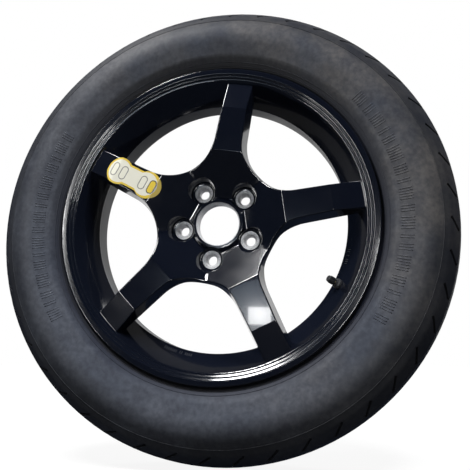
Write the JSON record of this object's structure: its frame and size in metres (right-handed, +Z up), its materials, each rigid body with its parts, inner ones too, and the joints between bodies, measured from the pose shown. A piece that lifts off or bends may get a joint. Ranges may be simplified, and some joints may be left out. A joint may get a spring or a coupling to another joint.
{
  "type": "temporary spare wheel",
  "caption": "Narrow temporary spare wheel: a slim tyre on a gloss black cast rim with broad flat spokes, sunk bolt seats, an open hub bore, a rubber valve and a waisted sticker.",
  "frame": {"origin": "wheel centre, on the spin axis at the tyre's middle plane", "axes": "spin axis along Y with the street face toward -Y, +Z up, +X to the right as seen from the street side"},
  "size_m": [0.72, 0.1544, 0.72],
  "materials": {
    "wheel_paint": "gloss black paint",
    "tyre_rubber": "dusty matte",
    "valve_rubber": "matte",
    "valve_brass": "satin",
    "seal_rubber": "matte",
    "spring_steel": "satin",
    "cap_plastic": "satin",
    "sticker_film": "satin"
  },
  "bodies": {
    "wheel": {"wheel": "wheel_paint", "tyre": "tyre_rubber", "valve_rubber": "valve_rubber", "valve_stem": "valve_brass", "core_body": "valve_brass", "core_seal": "seal_rubber", "core_spring": "spring_steel", "sticker": "sticker_film"},
    "pin": {"core_pin": "valve_brass", "core_cup": "seal_rubber"},
    "cap": {"valve_cap": "cap_plastic", "cap_seal": "seal_rubber"}
  },
  "joints": [
    {"name": "cap_off", "type": "slide", "parent": "wheel", "child": "cap", "axis": [-0.7071, -0.5875, 0.3935], "range_m": [0, 0.016]},
    {"name": "pin_press", "type": "slide", "parent": "wheel", "child": "pin", "axis": [0.7071, 0.5875, -0.3935], "range_m": [0, 0.0012], "stiffness_N_per_m": 200}
  ]
}
